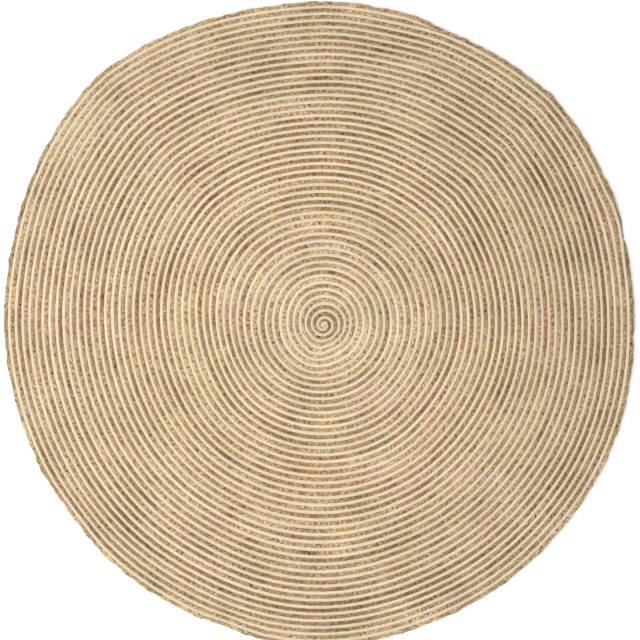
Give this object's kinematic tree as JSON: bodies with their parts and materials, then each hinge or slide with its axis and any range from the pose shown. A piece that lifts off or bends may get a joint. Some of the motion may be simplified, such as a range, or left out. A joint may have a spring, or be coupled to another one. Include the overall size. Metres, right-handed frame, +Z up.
{
  "type": "round plaited jute and cotton rug",
  "caption": "Flat round floor rug of cream cotton and natural jute plaits, sewn side by side in a spiral, with a jute plait sewn round its uneven rim.",
  "frame": {"origin": "middle of the rug's box, on the floor, at z = 0 on its underside", "axes": "+Z up out of the rug's upper face, +X to the picture's right, +Y to the picture's top"},
  "size_m": [1.7772, 1.8186, 0.008],
  "materials": {
    "cream_cotton": "matt plaited cotton yarn, cream",
    "natural_jute": "matt plaited jute fibre, mottled tan and brown",
    "border_jute": "matt plaited jute fibre, mottled tan and brown"
  },
  "bodies": {
    "root": {"cream_braid": "cream_cotton", "jute_braid": "natural_jute", "jute_border": "border_jute"}
  },
  "joints": []
}
